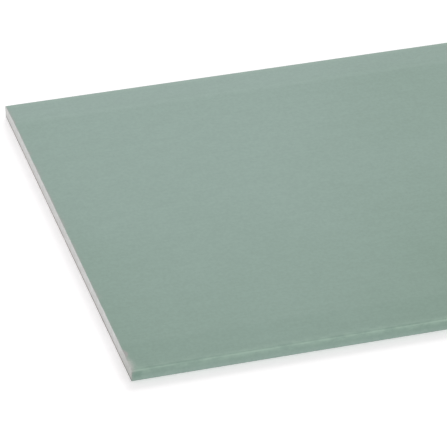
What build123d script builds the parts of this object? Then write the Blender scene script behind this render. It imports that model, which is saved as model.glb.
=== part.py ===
from build123d import *
import os

# Drywall sheet: a moisture-resistant gypsum board lying on its back with its green face up.
# The origin is the centre of the underside, X runs along the length and Z points up out of the face.

# Stock size of the sheet
board_length = 2000.0
board_width = 625.0
board_thickness = 18.0

# Tapered long edges, which leave room for joint tape and filler
taper_width = 52.0
taper_depth = 2.7
taper_start_radius = 120.0

# Rounding of a long edge, where the paper turns from the taper to the upright face and under it
shoulder_radius = 2.5
bottom_edge_radius = 0.8

# Paper liners, and the lap between them on the underside
face_paper_thickness = 0.4
back_paper_thickness = 0.4
flap_width = 30.0
back_paper_margin = 12.0
lap_step_length = 1.4
lap_step_radius = 1.0

half_width = board_width / 2
edge_height = board_thickness - taper_depth
flap_end = half_width - flap_width
flap_top = back_paper_thickness + face_paper_thickness
lap_edge = half_width - back_paper_margin

# Every section stands on the YZ plane at one cut end and runs the length of the sheet
section_plane = Plane.YZ.offset(-board_length / 2)

# The outer side of the face paper: from the middle of the face down one taper, over the shoulder
# of the long edge, under it, and up the step that takes the flap's end behind the back paper.
# The step's top is a sharp fold, so that the flap clears the back paper's edge.
half_wrap_points = [
    (0, board_thickness),
    (half_width - taper_width, board_thickness),
    (half_width, edge_height),
    (half_width, 0),
    (lap_edge + lap_step_length, 0),
    (lap_edge, back_paper_thickness),
    (flap_end, back_paper_thickness),
]
half_wrap_radii = [
    taper_start_radius,
    shoulder_radius,
    bottom_edge_radius,
    lap_step_radius,
    0,
]
with BuildLine() as wrap_line:
    FilletPolyline(half_wrap_points, radius=half_wrap_radii)
    mirror(about=Plane.YZ)

# The inner side of the face paper, where it sticks to the gypsum
with BuildLine() as core_line:
    offset(wrap_line.line, amount=face_paper_thickness, side=Side.RIGHT, closed=False)

# Face paper: one liner over the face and both long edges, with its flaps folded onto the back
with BuildPart() as face_paper:
    with BuildSketch(section_plane):
        with BuildLine():
            offset(wrap_line.line, amount=face_paper_thickness, side=Side.RIGHT)
        make_face()
    extrude(amount=board_length)

face_paper.part.label = "face_paper"

# Gypsum core: fills the wrap, and is cast against the back paper between the two flaps
with BuildPart() as gypsum_core:
    with BuildSketch(section_plane):
        with BuildLine():
            add(core_line.line)
            Polyline(
                (flap_end, flap_top),
                (flap_end, back_paper_thickness),
                (-flap_end, back_paper_thickness),
                (-flap_end, flap_top),
            )
        make_face()
    extrude(amount=board_length)

gypsum_core.part.label = "gypsum_core"

# Back paper: a flat liner glued over both flaps, stopping short of the long edges
with BuildPart() as back_paper:
    with BuildSketch(section_plane):
        Rectangle(2 * lap_edge, back_paper_thickness, align=(Align.CENTER, Align.MIN))
    extrude(amount=board_length)

back_paper.part.label = "back_paper"

os.makedirs("parts", exist_ok=True)
export_step(face_paper.part, "parts/face_paper.step")
export_step(gypsum_core.part, "parts/gypsum_core.step")
export_step(back_paper.part, "parts/back_paper.step")
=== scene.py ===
import math

import bpy
import numpy as np
from mathutils import Matrix, Vector, noise


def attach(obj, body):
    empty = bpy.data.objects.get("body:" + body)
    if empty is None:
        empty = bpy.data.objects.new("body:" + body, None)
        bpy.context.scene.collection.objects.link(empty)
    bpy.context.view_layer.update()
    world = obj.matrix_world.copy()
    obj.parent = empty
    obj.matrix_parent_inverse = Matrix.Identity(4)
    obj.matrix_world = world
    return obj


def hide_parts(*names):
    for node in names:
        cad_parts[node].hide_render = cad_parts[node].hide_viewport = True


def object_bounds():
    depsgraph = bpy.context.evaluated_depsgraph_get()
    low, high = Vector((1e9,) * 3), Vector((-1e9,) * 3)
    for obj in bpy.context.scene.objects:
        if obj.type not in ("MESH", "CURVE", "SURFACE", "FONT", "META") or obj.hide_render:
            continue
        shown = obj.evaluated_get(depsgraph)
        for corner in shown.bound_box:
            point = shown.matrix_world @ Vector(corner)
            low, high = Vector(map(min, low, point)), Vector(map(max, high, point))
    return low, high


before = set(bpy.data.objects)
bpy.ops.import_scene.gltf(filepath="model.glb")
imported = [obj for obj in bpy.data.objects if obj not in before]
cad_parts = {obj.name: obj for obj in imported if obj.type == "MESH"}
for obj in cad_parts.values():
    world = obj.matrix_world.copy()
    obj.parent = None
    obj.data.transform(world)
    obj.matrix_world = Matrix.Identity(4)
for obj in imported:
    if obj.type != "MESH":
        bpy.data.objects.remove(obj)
cad_low, cad_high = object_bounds()


# Face paper: one web of dense grey-green liner that carries the wet gypsum through the line, is
# creased round both long edges and folded onto the back. At the ends it is sawn off with the
# board, which bruises it and lifts its fibres, and one corner is rubbed down to its inner ply.
mm = 0.001
half_length = cad_high.x
half_width = cad_high.y
board_thickness = cad_high.z
liner_thickness = 0.4 * mm

taper_width = 52 * mm
taper_start_radius = 120 * mm
edge_height = board_thickness - 2.7 * mm
shoulder_radius = 2.5 * mm
bottom_edge_radius = 0.8 * mm
flap_end = half_width - 30 * mm
lap_edge = half_width - 12 * mm
lap_step_length = 1.4 * mm
lap_step_radius = 1 * mm


def rounded_line(corners, radii, arc_turn=math.radians(9)):
    """Runs through the corners, with each inner corner rounded to its radius."""
    line = [Vector(corners[0])]
    for before, corner, after, radius in zip(corners, corners[1:], corners[2:], radii):
        corner = Vector(corner)
        if radius == 0:
            line.append(corner)
            continue
        to_before = (Vector(before) - corner).normalized()
        to_after = (Vector(after) - corner).normalized()
        turn = math.pi - to_before.angle(to_after)
        reach = radius * math.tan(turn / 2)
        middle = (to_before + to_after).normalized()
        centre = corner + middle * (radius / math.cos(turn / 2))
        steps = max(3, math.ceil(turn / arc_turn))
        first = corner + to_before * reach - centre
        last = corner + to_after * reach - centre
        for step in range(steps + 1):
            share = step / steps
            a = math.sin((1 - share) * turn) / math.sin(turn)
            b = math.sin(share * turn) / math.sin(turn)
            line.append(centre + first * a + last * b)
    line.append(Vector(corners[-1]))
    return line


def spaced(line, spacing):
    """Adds points to a line so that no step is longer than the spacing."""
    points = [line[0]]
    for start, end in zip(line, line[1:]):
        steps = max(1, math.ceil((end - start).length / spacing - 1e-6))
        points += [start.lerp(end, step / steps) for step in range(1, steps + 1)]
    return points


def normals_of(line):
    """Gives each point of a line its unit normal to the right, stretched at corners."""
    sides = [(b - a).normalized() for a, b in zip(line, line[1:])]
    sides = [sides[0]] + sides + [sides[-1]]
    normals = []
    for before, after in zip(sides, sides[1:]):
        along = (before + after).normalized()
        stretch = 1 / max(0.3, along.dot(after))
        normals.append(Vector((along.y, -along.x)) * stretch)
    return normals


# The outer side of the wrap: from the middle of the face down the taper, over the shoulder, under
# the edge, and up the step that takes the flap behind the back paper
half_wrap = rounded_line(
    [
        (0, board_thickness),
        (half_width - taper_width, board_thickness),
        (half_width, edge_height),
        (half_width, 0),
        (lap_edge + lap_step_length, 0),
        (lap_edge, liner_thickness),
        (flap_end, liner_thickness),
    ],
    [
        taper_start_radius,
        shoulder_radius,
        bottom_edge_radius,
        lap_step_radius,
        0,
    ],
)
wrap = [Vector((-p.x, p.y)) for p in reversed(half_wrap)] + half_wrap[1:]


def grain(x, y, z, scale, seed=0.0, octaves=3):
    """Smooth noise from -1 to 1 at a point given in metres, with scale features a metre."""
    point = Vector((x * scale + seed, y * scale - seed, z * scale + 2 * seed))
    return noise.fractal(point, 0.9, 2.1, octaves)


# Two marks on the left end, as places on the section: its rubbed corner, and a knock beside it
near_corner = Vector((-half_width + 3 * mm, edge_height - 0.4 * mm))
arris_bruise = Vector((-half_width + 32 * mm, edge_height + 1.6 * mm))


def nearness(y, z, place, reach):
    """1 at a place on the section, fading to nothing beyond its reach."""
    return math.exp(-(((y - place.x) ** 2 + (z - place.y) ** 2) / reach**2))


def liner_recess(side, y, z):
    """How far inside the CAD end the sawn edge of the face paper lies at a point."""
    shallowest = 0.05 * mm
    recess = 0.26 * mm + 0.10 * mm * grain(side, y, z, 90, seed=3.1)
    recess += 0.08 * mm * grain(side, y, z, 800, seed=8.4)
    recess += 0.5 * mm * max(0, grain(side, y, z, 45, seed=17.3) - 0.42)
    if side < 0:
        recess += 0.22 * mm * nearness(y, z, near_corner, 6 * mm)
        recess += 0.30 * mm * nearness(y, z, arris_bruise, 4 * mm)
    return max(shallowest, recess)


def liner_dip(x, y, z):
    """How far the paper's outer side lies below the CAD surface: cockle, bruises and rubs."""
    from_end = half_length - abs(x)
    bruised_reach, rubbed_reach, deepest = 12 * mm, 20 * mm, 0.34 * mm
    dip = 0.020 * mm * (1 + grain(x, y, z, 9, seed=5.7, octaves=2))
    if from_end < bruised_reach:
        bruise = 0.5 + 0.5 * grain(math.copysign(1, x), y, z, 160, seed=12.9)
        dip += 0.17 * mm * bruise * math.exp(-from_end / (1.2 * mm))
    if from_end < rubbed_reach and x < 0:
        dip += 0.16 * mm * nearness(y, z, near_corner, 5 * mm) * math.exp(-from_end / (4 * mm))
    return min(deepest, max(0.0, dip))


def fine_ring(coarse, spacing):
    """Splits a coarse line, and says where each coarse point lies among the fine ones."""
    fine, places = [coarse[0]], [0]
    for start, end in zip(coarse, coarse[1:]):
        fine += spaced([start, end], spacing)[1:]
        places.append(len(fine) - 1)
    return fine, places


def new_piece(name, verts, faces):
    """Makes a piece from its points and faces, and puts it in the scene."""
    mesh = bpy.data.meshes.new(name)
    mesh.from_pydata(verts, [], faces)
    mesh.validate()
    piece = bpy.data.objects.new(name, mesh)
    bpy.context.scene.collection.objects.link(piece)
    return piece


def lay_liner(name, line, coarse_spacing, fine_spacing, end_steps, recess, dip):
    """Makes a closed sheet of paper that follows a section line along the board.

    Close to each cut end its outer side has fine rings, which carry the sawn edge."""
    coarse = spaced(line, coarse_spacing)
    fine, places = fine_ring(coarse, fine_spacing)
    inward = normals_of(fine)
    verts, faces = [], []

    def add_ring(x_of, points, inner):
        first = len(verts)
        for index in points:
            p = fine[index]
            x = x_of(p)
            sink = liner_thickness if inner else dip(x, p.x, p.y)
            at = p + inward[index] * sink
            verts.append((x, at.x, at.y))
        return first

    def skin(first, second, count, flip):
        """Joins two rings, with faces that look outwards when the second is nearer to +X."""
        for i in range(count - 1):
            quad = (second + i, second + i + 1, first + i + 1, first + i)
            faces.append(quad[::-1] if flip else quad)

    def widen(fine_first, coarse_first, flip):
        """Joins a fine ring to a coarse one, with one face for each coarse step."""
        for i, (a, b) in enumerate(zip(places, places[1:])):
            face = [coarse_first + i, coarse_first + i + 1]
            face += range(fine_first + b, fine_first + a - 1, -1)
            faces.append(face[::-1] if flip else face)

    every = range(len(fine))
    ends = {}
    for side in (-1, 1):
        flip = side > 0
        reach = end_steps[-1]
        rings = []
        for step in end_steps:
            def x_of(p, step=step):
                ragged = recess(side, p.x, p.y) * (1 - step / reach)
                return side * (half_length - step - ragged)
            rings.append(add_ring(x_of, every, False))
        for first, second in zip(rings, rings[1:]):
            skin(first, second, len(fine), flip)
        lip = add_ring(lambda p: side * (half_length - recess(side, p.x, p.y)), every, True)
        skin(lip, rings[0], len(fine), flip)
        ends[side] = (rings[-1], lip)

    middle_reach = half_length - end_steps[-1] - coarse_spacing / 2
    steps = math.ceil(2 * middle_reach / coarse_spacing)
    stations = [middle_reach * (2 * i / steps - 1) for i in range(steps + 1)]
    outer = [add_ring(lambda p, x=x: x, places, False) for x in stations]
    inner = [add_ring(lambda p, x=x: x, places, True) for x in (stations[0], stations[-1])]
    for first, second in zip(outer, outer[1:]):
        skin(first, second, len(coarse), False)
    skin(inner[0], inner[1], len(coarse), True)
    widen(ends[-1][0], outer[0], False)
    widen(ends[1][0], outer[-1], True)
    widen(ends[-1][1], inner[0], True)
    widen(ends[1][1], inner[-1], False)

    # The two long rims, where the outer and inner sides meet along the line's ends
    ring_count = len(end_steps)
    for end in (0, -1):
        place = places[end]
        corner = len(coarse) - 1 if end else 0
        left_rings, right_rings = (
            [ends[side][0] - (ring_count - 1 - k) * len(fine) + place for k in range(ring_count)]
            for side in (-1, 1)
        )
        outer_run = left_rings + [first + corner for first in outer] + right_rings[::-1]
        inner_run = [ends[-1][1] + place, inner[0] + corner, inner[1] + corner, ends[1][1] + place]
        rim = outer_run + inner_run[::-1]
        faces.append(rim if end else rim[::-1])

    return new_piece(name, verts, faces)


# How far the fine rings of both papers lie from a cut end
end_steps = [0, 0.35 * mm, 0.8 * mm, 1.5 * mm, 2.6 * mm, 4.2 * mm, 6.5 * mm, 10 * mm]
face_liner = lay_liner(
    "face_paper_sheet",
    wrap,
    coarse_spacing=12 * mm,
    fine_spacing=1.0 * mm,
    end_steps=end_steps,
    recess=liner_recess,
    dip=liner_dip,
)


def smooth_with_sharp_folds(piece, angle=math.radians(38)):
    """Shades a piece smooth, and leaves its cut edges crisp."""
    piece.data.shade_smooth()
    piece.data.set_sharp_from_angle(angle=angle)


def keep_point_values(piece, name, value_of):
    """Stores a number at each point, for the piece's material to read."""
    layer = piece.data.attributes.new(name, "FLOAT", "POINT")
    layer.data.foreach_set("value", [value_of(*v.co) for v in piece.data.vertices])


def crest_of(x, y, z):
    """1 on the crest of a long edge, fading over the taper and down the upright face."""
    from_side = half_width - abs(y)
    off_y = from_side - 0.4 * mm
    off_z = z - (edge_height - 1.4 * mm)
    crest = math.exp(-(off_y * off_y + off_z * off_z) / (1.6 * mm) ** 2)
    pale_band = 0.26 if from_side < 1 * mm else 0.0
    if z > edge_height - 1.2 * mm:
        pale_band = 0.62 * max(0.0, 1 - from_side / (14 * mm))
    return max(crest, pale_band)


def bounce_lit_foot_of(x, y, z):
    """1 along the foot of an upright edge, where painted bounce light makes it paler."""
    if abs(y) < lap_edge or z > edge_height:
        return 0.0
    return math.exp(-z / (5.5 * mm))


def scuff_of(x, y, z):
    """1 where the cut arris is bruised and grubby, in patches."""
    from_end = half_length - abs(x)
    if from_end > 16 * mm:
        return 0.0
    end = math.copysign(1, x)
    patches = min(1.0, max(0.0, 0.70 + 0.8 * grain(end, y, z, 38, seed=21.4)))
    reach = (2.2 + 1.6 * max(0.0, 0.3 + grain(end, y, z, 60, seed=27.7))) * mm
    band = 0.85 * patches * math.exp(-from_end / reach)
    if x < 0:
        wedge = nearness(y, z, arris_bruise, 5 * mm)
        band += 2.0 * wedge * math.exp(-((from_end / (3.2 * mm)) ** 2))
    return min(1.0, band)


def rub_of(x, y, z):
    """1 where the near corner is rubbed down to the paper's paler inner ply."""
    from_end = half_length + x
    if from_end > 20 * mm:
        return 0.0
    if z < edge_height - 3 * mm:
        return 0.0
    rub = math.exp(-(((half_width + y - 12 * mm) / (14 * mm)) ** 2))
    return rub * math.exp(-((from_end / (5.6 * mm)) ** 1.3))


def crush_of(x, y, z):
    """1 where the upright edge is crushed just round the near corner."""
    from_end = half_length + x
    if from_end > 40 * mm or y > -half_width + 2 * mm:
        return 0.0
    off_x = (from_end - 6 * mm) / (9 * mm)
    off_z = (z - 8.5 * mm) / (5 * mm)
    return math.exp(-off_x * off_x - off_z * off_z)


smooth_with_sharp_folds(face_liner)
for mark, value_of in (
    ("crest", crest_of),
    ("foot", bounce_lit_foot_of),
    ("scuff", scuff_of),
    ("rub", rub_of),
    ("crush", crush_of),
):
    keep_point_values(face_liner, mark, value_of)


def linear(red, green, blue):
    """A colour seen on screen, from 0 to 255, as the linear colour that a shader takes."""
    return tuple(
        c / 255 / 12.92 if c < 10.3 else ((c / 255 + 0.055) / 1.055) ** 2.4
        for c in (red, green, blue)
    ) + (1.0,)


class Wiring:
    """A node tree under construction: each call adds a node and gives back its output."""

    def node(self, kind, output=0, settings=None, **inputs):
        made = self.tree.nodes.new(kind)
        for key, value in (settings or {}).items():
            setattr(made, key, value)
        for key, value in inputs.items():
            numbered = key[0] == "i" and key[1:].isdigit()
            socket = made.inputs[int(key[1:]) if numbered else key.replace("_", " ")]
            self.feed(socket, value)
        return made.outputs[output]

    def feed(self, socket, value):
        if isinstance(value, bpy.types.NodeSocket):
            self.tree.links.new(value, socket)
        else:
            socket.default_value = value

    def maths(self, operation, a, b=0.0):
        return self.node("ShaderNodeMath", 0, {"operation": operation}, i0=a, i1=b)


class Finish(Wiring):
    """A material, with the patterns that paper and plaster need."""

    def __init__(self, name):
        self.material = bpy.data.materials.new(name)
        self.material.use_nodes = True
        self.tree = self.material.node_tree
        self.shader = self.tree.nodes["Principled BSDF"]

    def places(self, stretch=(1, 1, 1)):
        """Points of the piece in metres, stretched so that a pattern runs along one axis."""
        at = self.node("ShaderNodeTexCoord", "Object")
        return self.node("ShaderNodeMapping", Vector=at, Scale=stretch)

    def noise(self, at, scale, detail=3.0, roughness=0.55, distortion=0.0):
        return self.node("ShaderNodeTexNoise", "Fac", Vector=at, Scale=scale, Detail=detail,
                         Roughness=roughness, Distortion=distortion)

    def cells(self, at, scale):
        return self.node("ShaderNodeTexVoronoi", "Distance", Vector=at, Scale=scale)

    def between(self, value, low, high, to_low=0.0, to_high=1.0):
        """Maps low..high onto a new range, smoothly and clamped."""
        return self.node("ShaderNodeMapRange", 0, {"interpolation_type": "SMOOTHSTEP"},
                         Value=value, From_Min=low, From_Max=high, To_Min=to_low, To_Max=to_high)

    def blend(self, factor, a, b, how="MIX"):
        made = self.tree.nodes.new("ShaderNodeMix")
        made.data_type = "RGBA"
        made.blend_type = how
        self.feed(made.inputs[0], factor)
        self.feed(made.inputs[6], a)
        self.feed(made.inputs[7], b)
        return made.outputs[2]

    def value(self, name):
        return self.node("ShaderNodeAttribute", "Fac", {"attribute_name": name})

    def bump(self, height, distance, under=None):
        made = self.tree.nodes.new("ShaderNodeBump")
        made.inputs["Distance"].default_value = distance
        self.feed(made.inputs["Height"], height)
        if under is not None:
            self.feed(made.inputs["Normal"], under)
        return made.outputs["Normal"]

    def surface(self, **inputs):
        for key, value in inputs.items():
            self.feed(self.shader.inputs[key.replace("_", " ")], value)


# The first two are the lit and the shaded end of the light painted over the face paper
lit_blue_grey = linear(134, 156, 147)
shaded_leaf_grey = linear(116, 141, 127)
# The next two are a painted highlight on the taper starts and painted light on the far taper
taper_start_highlight = linear(176, 194, 186)
far_taper_lit_grey = linear(164, 172, 178)
pale_crest_green = linear(166, 190, 174)
# A paler foot: painted bounce light from the floor
bounce_lit_foot = linear(168, 186, 180)
crushed_green = linear(116, 142, 130)
grubby_arris = linear(155, 151, 150)
inner_ply = linear(184, 184, 180)


def green_paper_finish():
    """Dyed liner with painted light: cloudy formation, fibres drawn out along the board, pale
    crests.
    """
    f = Finish("green_liner")
    at = f.places()
    along = f.node("ShaderNodeSeparateXYZ", 0, Vector=at)
    across = f.node("ShaderNodeSeparateXYZ", 1, Vector=at)
    # Painted light and sheen: a lit bluer grey drifting to a shaded greener one, most near one end
    wave = f.maths("SINE", f.maths("ADD", f.maths("MULTIPLY", along, 7.0), 1.04))
    wave = f.maths("MULTIPLY", wave, f.between(along, -0.4, 0.1, 0.31, 0.10))
    sway = f.maths("SINE", f.maths("ADD", f.maths("MULTIPLY", across, 5.4), 0.49))
    dye = f.maths("ADD", wave, f.maths("MULTIPLY", sway, 0.35))
    dye = f.maths("ADD", dye, f.between(f.noise(at, 5, 2), 0.3, 0.7, -0.08, 0.08))
    colour = f.blend(f.between(dye, -0.75, 0.75), shaded_leaf_grey, lit_blue_grey)
    cloud = f.noise(at, 260, 4)
    blotch = f.noise(f.places((0.6, 1, 1)), 60, 3)
    fibre = f.noise(f.places((0.22, 1, 1)), 2600, 5, 0.7)
    streak = f.noise(f.places((0.02, 1, 1)), 420, 3)
    shade = f.maths("MULTIPLY", f.between(cloud, 0.3, 0.7, 0.97, 1.04),
                    f.between(blotch, 0.3, 0.7, 0.985, 1.012))
    shade = f.maths("MULTIPLY", shade, f.between(fibre, 0.25, 0.75, 0.97, 1.03))
    shade = f.maths("MULTIPLY", shade, f.between(streak, 0.3, 0.75, 1.012, 0.988))
    flecks = f.cells(f.places((0.4, 1, 1)), 330)
    shade = f.maths("MULTIPLY", shade, f.between(flecks, 0.0, 0.10, 0.80, 1))
    colour = f.blend(1.0, colour, shade, "MULTIPLY")
    # Painted highlight on each taper start, stronger at the far one; painted light on the far
    # taper
    from_middle = f.maths("ABSOLUTE", across)
    flat_half = half_width - taper_width
    line = f.maths("MULTIPLY", f.between(from_middle, flat_half - 8 * mm, flat_half),
                   f.between(from_middle, flat_half, flat_half + 8 * mm, 1, 0))
    line = f.maths("MULTIPLY", line, f.between(across, -0.1, 0.1, 0.02, 0.05))
    colour = f.blend(line, colour, taper_start_highlight)
    far_taper_light = f.between(across, flat_half - 4 * mm, flat_half + 20 * mm, 0, 0.04)
    colour = f.blend(far_taper_light, colour, far_taper_lit_grey)
    # Pale crests, painted bounce light on the foot; wear: a bruised cut arris, a crushed, rubbed
    # corner
    patchy = f.between(f.noise(f.places((0.5, 1, 1)), 130, 4), 0.3, 0.65, 0.45, 1)
    crest_paling = f.maths("MULTIPLY", f.value("crest"), patchy)
    colour = f.blend(f.between(crest_paling, 0.05, 1, 0, 0.50), colour, pale_crest_green)
    # Painted bounce light: the foot of the upright edge is paler, most at the bottom
    patchy = f.between(f.noise(at, 170, 4), 0.35, 0.65, 0.38, 0.52)
    colour = f.blend(f.maths("MULTIPLY", f.value("foot"), patchy), colour, bounce_lit_foot)
    patchy = f.between(f.noise(at, 240, 3), 0.25, 0.6, 0.6, 1)
    crushed = f.maths("MULTIPLY", f.value("crush"), patchy)
    colour = f.blend(f.between(crushed, 0.1, 1, 0, 0.9), colour, crushed_green)
    patchy = f.between(f.noise(at, 500, 4), 0.3, 0.6, 0.35, 1)
    scuffed = f.maths("MULTIPLY", f.value("scuff"), patchy)
    colour = f.blend(f.between(scuffed, 0.0, 0.8, 0, 0.85), colour, grubby_arris)
    patchy = f.between(f.noise(at, 420, 5), 0.25, 0.55, 0.5, 1)
    rubbed = f.maths("MULTIPLY", f.value("rub"), patchy)
    colour = f.blend(f.between(rubbed, 0.0, 0.9, 0, 0.68), colour, inner_ply)
    rough = f.between(fibre, 0.2, 0.8, 0.66, 0.82)
    relief = f.bump(cloud, 0.05 * mm)
    relief = f.bump(fibre, 0.03 * mm, relief)
    f.surface(Base_Color=colour, Roughness=rough, Normal=relief)
    f.shader.inputs["Specular IOR Level"].default_value = 0.38
    f.shader.inputs["Sheen Weight"].default_value = 0.06
    f.shader.inputs["Sheen Roughness"].default_value = 0.5
    return f.material


face_liner.data.materials.append(green_paper_finish())
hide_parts("face_paper")
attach(face_liner, "root")


# Torn fibres: the saw leaves a fringe of loose paper fibres along the cut edge of the face
# paper, which curl in over the gypsum. They are the paper's own, so they share its dye.
class Recipe(Wiring):
    """A Geometry Nodes tree that makes one kind of piece, with named inputs for its sizes."""

    def __init__(self, name, **sizes):
        self.tree = bpy.data.node_groups.new(name, "GeometryNodeTree")
        face = self.tree.interface
        face.new_socket("Geometry", in_out="INPUT", socket_type="NodeSocketGeometry")
        face.new_socket("Geometry", in_out="OUTPUT", socket_type="NodeSocketGeometry")
        self.sizes = sizes
        for key, value in sizes.items():
            kind = "NodeSocketInt" if isinstance(value, int) else "NodeSocketFloat"
            face.new_socket(key.replace("_", " "), in_out="INPUT", socket_type=kind)
        self.start = self.tree.nodes.new("NodeGroupInput")
        self.given = self.start.outputs["Geometry"]

    def size(self, name):
        return self.start.outputs[name.replace("_", " ")]

    def chance(self, low, high, seed, kind="FLOAT"):
        """A random number or vector for each point, from a fixed seed."""
        first = {"FLOAT_VECTOR": 0, "FLOAT": 2}[kind]
        picked = self.tree.nodes.new("FunctionNodeRandomValue")
        picked.data_type = kind
        self.feed(picked.inputs[first], low)
        self.feed(picked.inputs[first + 1], high)
        self.feed(picked.inputs["Seed"], seed)
        return picked.outputs[{"FLOAT_VECTOR": 0, "FLOAT": 1}[kind]]

    def finish(self, instances, material):
        real = self.node("GeometryNodeRealizeInstances", Geometry=instances)
        dressed = self.node("GeometryNodeSetMaterial", Geometry=real, Material=material)
        end = self.tree.nodes.new("NodeGroupOutput")
        self.tree.links.new(dressed, end.inputs["Geometry"])

    def make(self, name, start_mesh):
        """Runs the tree on a mesh and gives back its result as a plain piece."""
        holder = bpy.data.objects.new(name + "_start", start_mesh)
        bpy.context.scene.collection.objects.link(holder)
        modifier = holder.modifiers.new("recipe", "NODES")
        modifier.node_group = self.tree
        for item in self.tree.interface.items_tree:
            key = item.name.replace(" ", "_")
            if item.in_out == "INPUT" and key in self.sizes:
                modifier[item.identifier] = self.sizes[key]
        depsgraph = bpy.context.evaluated_depsgraph_get()
        mesh = bpy.data.meshes.new_from_object(holder.evaluated_get(depsgraph))
        holder.modifiers.remove(modifier)
        bpy.data.objects.remove(holder)
        mesh.name = name
        piece = bpy.data.objects.new(name, mesh)
        bpy.context.scene.collection.objects.link(piece)
        return piece


def cut_lines(line, recess, inset):
    """A line inside the paper's cut edge at both ends, with the direction into the board."""
    fine = spaced(line, 1 * mm)
    inward = normals_of(fine)
    rooted = 0.02 * mm
    verts, edges, directions, ends = [], [], [], []
    for side in (-1, 1):
        first = len(verts)
        for p, n in zip(fine, inward):
            at = p + n * inset
            verts.append((side * (half_length - recess(side, p.x, p.y) - rooted), at.x, at.y))
            directions += [0, n.x, n.y]
            ends.append(side)
        edges += [(first + i, first + i + 1) for i in range(len(fine) - 1)]
    mesh = bpy.data.meshes.new("cut_lines")
    mesh.from_pydata(verts, edges, [])
    mesh.attributes.new("inward", "FLOAT_VECTOR", "POINT").data.foreach_set("vector", directions)
    mesh.attributes.new("end", "FLOAT", "POINT").data.foreach_set("value", ends)
    return mesh


def fringe_recipe(material, spacing, longest):
    """Bent, tapering hairs set along the cut lines, leaning in over the board."""
    r = Recipe("fringe", Spacing=spacing, Shortest=0.3 * longest, Longest=longest, Spread=0.85,
               Lift=0.16, Pressed_from=half_length - 0.3 * mm, Pressed_to=0.3, Seed=7)
    line = r.node("GeometryNodeMeshToCurve", Mesh=r.given)
    line = r.node("GeometryNodeResampleCurve", 0, {"mode": "LENGTH"}, Curve=line,
                  Length=r.size("Spacing"))
    # One hair, a unit long: bent to one side, three-sided and tapering to a quarter
    hair = r.node("GeometryNodeCurveQuadraticBezier", Resolution=4, Start=(0, 0, 0),
                  Middle=(0.22, 0.05, 0.5), End=(-0.05, 0.2, 1))
    along = r.node("GeometryNodeSplineParameter", "Factor")
    hair = r.node("GeometryNodeSetCurveRadius", Curve=hair,
                  Radius=r.maths("SUBTRACT", 1.0, r.maths("MULTIPLY", along, 0.75)))
    ring = r.node("GeometryNodeCurvePrimitiveCircle", Resolution=3, Radius=0.03)
    hair = r.node("GeometryNodeCurveToMesh", Curve=hair, Profile_Curve=ring, Fill_Caps=True)
    inward = r.node("GeometryNodeInputNamedAttribute", "Attribute", {"data_type": "FLOAT_VECTOR"},
                    Name="inward")
    end = r.node("GeometryNodeInputNamedAttribute", "Attribute", {"data_type": "FLOAT"},
                 Name="end")
    spread = r.size("Spread")
    lift = r.maths("MULTIPLY", end, r.chance(0.0, r.size("Lift"), r.size("Seed")))
    tilt = r.node("ShaderNodeCombineXYZ", X=lift, Y=0.0, Z=0.0)
    swing = r.chance((0, -1, -1), (0, 1, 1), r.maths("ADD", r.size("Seed"), 1), "FLOAT_VECTOR")
    swing = r.node("ShaderNodeVectorMath", 0, {"operation": "SCALE"}, i0=swing, Scale=spread)
    aim = r.node("ShaderNodeVectorMath", 0, {"operation": "ADD"}, i0=inward, i1=swing)
    aim = r.node("ShaderNodeVectorMath", 0, {"operation": "ADD"}, i0=aim, i1=tilt)
    turned = r.node("FunctionNodeAlignRotationToVector", 0, {"axis": "Z"}, Vector=aim)
    length = r.chance(r.size("Shortest"), r.size("Longest"), r.maths("ADD", r.size("Seed"), 2))
    hairs = r.node("GeometryNodeInstanceOnPoints", Points=line, Instance=hair, Rotation=turned,
                   Scale=length)
    # Hairs that lean out of the cut are pressed back, so that none stands past the board's end
    real = r.node("GeometryNodeRealizeInstances", Geometry=hairs)
    reach = r.node("ShaderNodeSeparateXYZ", 0, Vector=r.node("GeometryNodeInputPosition"))
    past = r.maths("SUBTRACT", r.maths("ABSOLUTE", reach), r.size("Pressed_from"))
    past = r.maths("MAXIMUM", past, 0.0)
    back = r.maths("MULTIPLY", past, r.maths("SUBTRACT", r.size("Pressed_to"), 1.0))
    back = r.maths("MULTIPLY", back, r.maths("SIGN", reach))
    shift = r.node("ShaderNodeCombineXYZ", X=back, Y=0.0, Z=0.0)
    pressed = r.node("GeometryNodeSetPosition", Geometry=real, Offset=shift)
    r.finish(pressed, material)
    return r


def fibre_finish(name, dye, pale):
    """Loose fibres: thinner in colour than the sheet, from dyed to almost bare."""
    f = Finish(name)
    at = f.places()
    share = f.between(f.noise(at, 700, 2), 0.35, 0.65)
    colour = f.blend(share, dye, pale)
    f.surface(Base_Color=colour, Roughness=f.between(f.noise(at, 2500, 2), 0.3, 0.7, 0.75, 0.9))
    f.shader.inputs["Specular IOR Level"].default_value = 0.25
    f.shader.inputs["Sheen Weight"].default_value = 0.2
    f.shader.inputs["Sheen Roughness"].default_value = 0.4
    return f.material


green_fibre = fibre_finish(
    "green_fibre", dye=linear(140, 152, 142), pale=linear(186, 186, 176)
)
face_fringe = fringe_recipe(green_fibre, spacing=1.1 * mm, longest=1.5 * mm).make(
    "face_paper_fibres", cut_lines(wrap, liner_recess, inset=0.2 * mm)
)
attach(face_fringe, "root")


# Gypsum core: foamed plaster cast between the two papers, so it fills the wrap and hides inside
# it. Only its ends show, sawn across: pale grey, pitted by burst air bubbles, a little crumbled
# along the papers, and crushed round the rubbed corner.
core_column_step = 0.7 * mm
core_rows = 26

# The inner side of the wrap is parted halfway up the long edges, into the core's roof and floor
parting_height = edge_height / 2
inner_wrap = [p + n * liner_thickness for p, n in zip(wrap, normals_of(wrap))]
core_roof = [p for p in inner_wrap if p.y > parting_height]
core_floor_half = [p for p in inner_wrap if p.y <= parting_height and p.x > 0]


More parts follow.
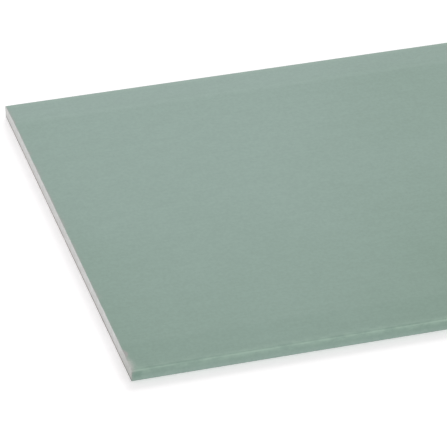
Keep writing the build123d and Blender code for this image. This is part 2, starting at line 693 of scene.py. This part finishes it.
def core_columns():
    """Gives the y of each upright column of the cut face, closer together at the long edges."""
    edge = half_width - liner_thickness
    rounding, rounding_columns = 3 * mm, 14
    step_gap = 0.01 * mm
    columns = list(np.arange(0, flap_end - core_column_step / 2, core_column_step))
    columns += [flap_end - step_gap, flap_end + step_gap]
    columns += list(np.arange(flap_end + core_column_step, edge - rounding, core_column_step))
    columns += [
        edge - rounding * (1 - k / rounding_columns) ** 2 for k in range(rounding_columns + 1)
    ]
    return np.array([-c for c in reversed(columns)] + columns[1:])


def height_on(line, y):
    """The height of a section line at each y."""
    line = sorted(line, key=lambda p: p.x)
    return np.interp(y, [p.x for p in line], [p.y for p in line])


column_y = core_columns()
roof_z = height_on(core_roof, column_y)
floor_z = height_on(core_floor_half, np.abs(column_y))
floor_z[np.abs(column_y) < flap_end] = liner_thickness


def core_recess(side, y, z, low, high):
    """How far inside the CAD end the sawn gypsum lies at a point."""
    shallowest, bubble = 0.1 * mm, 0.28
    grit = grain(side, y, z, 620, seed=31.0, octaves=3)
    wave = grain(side, y * 0.25, z, 150, seed=7.7, octaves=2)
    recess = 0.45 * mm + 0.09 * mm * grit + 0.12 * mm * wave
    from_bubble = noise.voronoi(Vector((side * 3, y * 330, z * 330)))[0][0]
    if from_bubble < bubble:
        recess += 0.55 * mm * (bubble - from_bubble)
    to_paper = min(z - low, high - z)
    crumble = 0.5 + 0.5 * grain(side, y, z, 210, seed=44.0)
    recess += 0.30 * mm * crumble * math.exp(-max(0, to_paper) / (0.5 * mm))
    if side < 0:
        recess += 0.5 * mm * nearness(y, z, near_corner, 4 * mm)
    return max(shallowest, recess)


def cast_core():
    """Makes the slab as a grid over each cut face, joined by long faces from rim to rim."""
    verts, faces = [], []
    rows = core_rows + 1
    starts = {}
    for side in (-1, 1):
        starts[side] = len(verts)
        for y, low, high in zip(column_y, floor_z, roof_z):
            for row in range(rows):
                z = low + (high - low) * row / core_rows
                verts.append((side * (half_length - core_recess(side, y, z, low, high)), y, z))
        for column in range(len(column_y) - 1):
            for row in range(core_rows):
                a = starts[side] + column * rows + row
                quad = (a, a + 1, a + 1 + rows, a + rows)
                faces.append(quad if side < 0 else quad[::-1])
    last = len(column_y) - 1
    rim = [column * rows for column in range(last + 1)]
    rim += [last * rows + row for row in range(1, rows)]
    rim += [column * rows + core_rows for column in range(last - 1, -1, -1)]
    rim += range(core_rows - 1, 0, -1)
    for a, b in zip(rim, rim[1:] + rim[:1]):
        faces.append((starts[-1] + a, starts[-1] + b, starts[1] + b, starts[1] + a))
    return new_piece("gypsum_slab", verts, faces)


gypsum_slab = cast_core()
smooth_with_sharp_folds(gypsum_slab, math.radians(60))


lower_gypsum = linear(201, 199, 200)
upper_gypsum = linear(207, 209, 208)
grey_mottle = linear(188, 186, 184)
pale_dust = linear(224, 224, 221)
pore_shadow = linear(150, 148, 146)
near_edge_gypsum = linear(180, 181, 177)
darker_foot_grey = linear(143, 142, 142)
darkest_foot_grey = linear(112, 112, 110)


def gypsum_finish():
    """Sawn foamed gypsum: pale, pored and dusty, and darker at its foot along the back paper."""
    f = Finish("sawn_gypsum")
    at = f.places()
    long_mottle = f.noise(f.places((1, 0.4, 1)), 240, 4)
    fine = f.noise(at, 2100, 4, 0.7)
    across = f.node("ShaderNodeSeparateXYZ", 1, Vector=at)
    height = f.node("ShaderNodeSeparateXYZ", 2, Vector=at)
    colour = f.blend(f.between(height, 1 * mm, 13 * mm), lower_gypsum, upper_gypsum)
    colour = f.blend(f.between(long_mottle, 0.35, 0.7, 0, 0.7), colour, grey_mottle)
    colour = f.blend(f.between(fine, 0.35, 0.7, 0, 0.35), colour, pale_dust)
    pores = f.cells(at, 900)
    colour = f.blend(f.between(pores, 0.0, 0.22, 0.45, 0), colour, pore_shadow)
    foot = f.maths("MULTIPLY", f.between(height, 0.8 * mm, 2.4 * mm, 1, 0),
                   f.between(f.noise(f.places((1, 1, 0.3)), 160, 4), 0.3, 0.6, 0.3, 1))
    foot = f.maths("MULTIPLY", foot, f.between(across, -0.28, 0.15, 0.92, 0.12))
    # Darker towards the near long edge, and darkest at the foot there
    near_edge_share = f.between(across, -half_width + 75 * mm, -half_width + 8 * mm)
    colour = f.blend(f.maths("MULTIPLY", near_edge_share, 0.75), colour, near_edge_gypsum)
    colour = f.blend(foot, colour, f.blend(near_edge_share, darker_foot_grey, darkest_foot_grey))
    relief = f.bump(fine, 0.10 * mm)
    relief = f.bump(f.between(pores, 0, 0.25), 0.08 * mm, relief)
    f.surface(Base_Color=colour, Roughness=0.92, Normal=relief)
    f.shader.inputs["Specular IOR Level"].default_value = 0.2
    return f.material


gypsum_slab.data.materials.append(gypsum_finish())
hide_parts("gypsum_core")
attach(gypsum_slab, "root")


# Crumbs: grains of gypsum that the saw breaks loose and leaves clinging to both cut faces,
# thinly all over.
def crumb_recipe(material):
    """Lumpy grains of mixed size, scattered and tumbled over the two cut faces."""
    r = Recipe("crumbs", Crumbs_a_square_metre=60000.0, Smallest=0.05 * mm, Largest=0.17 * mm,
               Seed=11, Lump_seed=3)
    facing = r.node("ShaderNodeSeparateXYZ", "X", Vector=r.node("GeometryNodeInputNormal"))
    on_cut = r.node("FunctionNodeCompare", 0, {"data_type": "FLOAT", "operation": "GREATER_THAN"},
                    i0=r.maths("ABSOLUTE", facing), i1=0.6)
    scatter = r.tree.nodes.new("GeometryNodeDistributePointsOnFaces")
    r.feed(scatter.inputs["Mesh"], r.given)
    r.feed(scatter.inputs["Selection"], on_cut)
    r.feed(scatter.inputs["Density"], r.size("Crumbs_a_square_metre"))
    r.feed(scatter.inputs["Seed"], r.size("Seed"))
    grit = r.node("GeometryNodeMeshIcoSphere", Radius=1.0, Subdivisions=1)
    shift = r.chance((-0.35, -0.35, -0.35), (0.35, 0.35, 0.35), r.size("Lump_seed"),
                     "FLOAT_VECTOR")
    grit = r.node("GeometryNodeSetPosition", Geometry=grit, Offset=shift)
    size = r.chance(r.size("Smallest"), r.size("Largest"), r.maths("ADD", r.size("Seed"), 1))
    tumble = r.chance((0, 0, 0), (6.2, 6.2, 6.2), r.maths("ADD", r.size("Seed"), 2),
                      "FLOAT_VECTOR")
    grits = r.node("GeometryNodeInstanceOnPoints", Points=scatter.outputs["Points"], Instance=grit,
                   Rotation=tumble, Scale=size)
    r.finish(grits, material)
    return r


crumbs = crumb_recipe(gypsum_slab.data.materials[0]).make("gypsum_crumbs", gypsum_slab.data.copy())
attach(crumbs, "root")


# Back paper: a web of recycled grey-brown liner pressed onto the wet core from the other side and
# glued over the folded flaps. It stops short of the long edges and is torn a little ragged at
# the ends, where the saw comes out of the board.
back_line = [Vector((lap_edge, 0)), Vector((-lap_edge, 0))]


def back_recess(side, y, z):
    """How far inside the CAD end the torn edge of the back paper lies at a point."""
    shallowest = 0.03 * mm
    recess = 0.22 * mm + 0.14 * mm * grain(side, y, z, 120, seed=51.0)
    recess += 0.12 * mm * max(0, grain(side, y, z, 800, seed=61.0))
    return max(shallowest, recess)


def back_dip(x, y, z):
    """The underside rests on the floor, apart from shallow hollows pressed into the paper."""
    return 0.03 * mm * max(0.0, grain(x, y, z, 14, seed=71.0, octaves=2))


back_liner = lay_liner(
    "back_paper_sheet",
    back_line,
    coarse_spacing=14 * mm,
    fine_spacing=1.2 * mm,
    end_steps=end_steps,
    recess=back_recess,
    dip=back_dip,
)
smooth_with_sharp_folds(back_liner)


dull_brown_grey = linear(144, 139, 131)
pale_brown_grey = linear(156, 151, 142)
bare_fibre = linear(176, 169, 156)
brown_streak = linear(128, 121, 111)
dark_fleck = linear(82, 78, 74)
pale_fleck = linear(208, 202, 190)


def grey_paper_finish():
    """Recycled liner: grey-brown, speckled with mixed fibres, streaked along the board."""
    f = Finish("grey_liner")
    at = f.places()
    cloud = f.noise(at, 150, 4)
    fibre = f.noise(f.places((0.25, 1, 1)), 1900, 5, 0.7)
    streak = f.noise(f.places((0.015, 1, 1)), 260, 3)
    colour = f.blend(f.between(cloud, 0.3, 0.7), dull_brown_grey, pale_brown_grey)
    colour = f.blend(f.between(fibre, 0.3, 0.7, 0, 0.4), colour, bare_fibre)
    colour = f.blend(f.between(streak, 0.4, 0.75, 0, 0.2), colour, brown_streak)
    dark = f.cells(f.places((0.5, 1, 1)), 420)
    colour = f.blend(f.between(dark, 0.0, 0.10, 0.6, 0), colour, dark_fleck)
    pale = f.cells(f.places((0.6, 1.1, 1)), 270)
    colour = f.blend(f.between(pale, 0.0, 0.09, 0.5, 0), colour, pale_fleck)
    relief = f.bump(cloud, 0.08 * mm)
    relief = f.bump(fibre, 0.05 * mm, relief)
    f.surface(Base_Color=colour, Roughness=f.between(fibre, 0.2, 0.8, 0.74, 0.9), Normal=relief)
    f.shader.inputs["Specular IOR Level"].default_value = 0.3
    return f.material


back_liner.data.materials.append(grey_paper_finish())
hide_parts("back_paper")
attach(back_liner, "root")


# Back fringe: the short grey-brown fibres of the recycled liner that the saw pulls loose along
# both ends of the back paper. They are the paper's own, and lie a little farther apart.
grey_fibre = fibre_finish("grey_fibre", dye=linear(134, 126, 116), pale=linear(188, 180, 168))
back_fringe = fringe_recipe(grey_fibre, spacing=1.4 * mm, longest=1.0 * mm).make(
    "back_paper_fibres", cut_lines(back_line, back_recess, inset=0.24 * mm)
)
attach(back_fringe, "root")


# Stage: a plain white floor that keeps the board's soft shadow, a white surround, two broad soft
# lights, one from the left in front and one from behind, and the camera over the near left corner.
floor_reach = 60.0
floor_paint = (0.92, 0.92, 0.92, 1)
floor_paint_seen = (1.165, 1.147, 1.155, 1)
surround_glow = 0.63
surround_seen = 1.0


def seen_by_eye_or_gloss(tree):
    """1 for the camera and for what gloss and glass show, and 0 for light on the board."""
    ray = tree.nodes.new("ShaderNodeLightPath")
    first = tree.nodes.new("ShaderNodeMath")
    every = tree.nodes.new("ShaderNodeMath")
    first.operation = every.operation = "MAXIMUM"
    tree.links.new(ray.outputs["Is Camera Ray"], first.inputs[0])
    tree.links.new(ray.outputs["Is Glossy Ray"], first.inputs[1])
    tree.links.new(first.outputs[0], every.inputs[0])
    tree.links.new(ray.outputs["Is Transmission Ray"], every.inputs[1])
    return every.outputs[0]


def white_floor():
    """A floor that bounces light like white paint, and looks as bright as the surround."""
    corners = [(-1, -1), (1, -1), (1, 1), (-1, 1)]
    verts = [(x * floor_reach, y * floor_reach, 0) for x, y in corners]
    floor = new_piece("floor", verts, [(0, 1, 2, 3)])
    material = bpy.data.materials.new("studio_floor")
    material.use_nodes = True
    tree = material.node_tree
    tree.nodes.clear()
    paint = tree.nodes.new("ShaderNodeBsdfDiffuse")
    shade = tree.nodes.new("ShaderNodeMix")
    shade.data_type = "RGBA"
    shade.inputs[6].default_value = floor_paint
    shade.inputs[7].default_value = floor_paint_seen
    out = tree.nodes.new("ShaderNodeOutputMaterial")
    tree.links.new(seen_by_eye_or_gloss(tree), shade.inputs[0])
    tree.links.new(shade.outputs[2], paint.inputs["Color"])
    tree.links.new(paint.outputs[0], out.inputs["Surface"])
    floor.data.materials.append(material)
    return floor


white_floor()

surround = bpy.data.worlds.new("surround")
surround.use_nodes = True
world_tree = surround.node_tree
world_light = world_tree.nodes["Background"]
seen = world_tree.nodes.new("ShaderNodeMapRange")
world_tree.links.new(seen_by_eye_or_gloss(world_tree), seen.inputs["Value"])
seen.inputs["To Min"].default_value = surround_glow
seen.inputs["To Max"].default_value = surround_seen
world_light.inputs["Color"].default_value = (1, 1, 1, 1)
world_tree.links.new(seen.outputs[0], world_light.inputs["Strength"])
bpy.context.scene.world = surround


def soft_light(name, away, breadth, strength):
    """A broad soft light so far off that it lights floor and board evenly."""
    lamp = bpy.data.lights.new(name, "SUN")
    lamp.angle = math.radians(breadth)
    lamp.energy = strength
    holder = bpy.data.objects.new(name, lamp)
    holder.rotation_euler = Vector(away).to_track_quat("Z", "Y").to_euler()
    bpy.context.scene.collection.objects.link(holder)


soft_light("front_light", (-2.9, -3.75, 1.9), breadth=28, strength=1.33)
soft_light("back_light", (1.65, 3.5, 1.95), breadth=32, strength=1.46)

# Where the camera stands, with angles in radians and the focal length in pixels of the picture
camera_place = Vector((-half_length - 0.82334, -half_width - 3.20216, 2.27563))
camera_azimuth = -0.28337
camera_elevation = 0.55822
focal_length = 3523.5
picture_width = 447

# The camera looks down its own -Z, so its axes are its right, its up and its back
back = Vector((
    math.sin(camera_azimuth) * math.cos(camera_elevation),
    -math.cos(camera_azimuth) * math.cos(camera_elevation),
    math.sin(camera_elevation),
))
right = Vector((math.cos(camera_azimuth), math.sin(camera_azimuth), 0))
up = back.cross(right)
camera = bpy.data.cameras.new("camera")
camera.sensor_width = 36
camera.lens = camera.sensor_width * focal_length / picture_width
camera.clip_start = 0.1
camera.clip_end = 200
camera_holder = bpy.data.objects.new("camera", camera)
pose = Matrix((right, up, back)).transposed().to_4x4()
pose.translation = camera_place
camera_holder.matrix_world = pose
bpy.context.scene.collection.objects.link(camera_holder)
bpy.context.scene.camera = camera_holder
bpy.context.scene.view_settings.view_transform = "Standard"
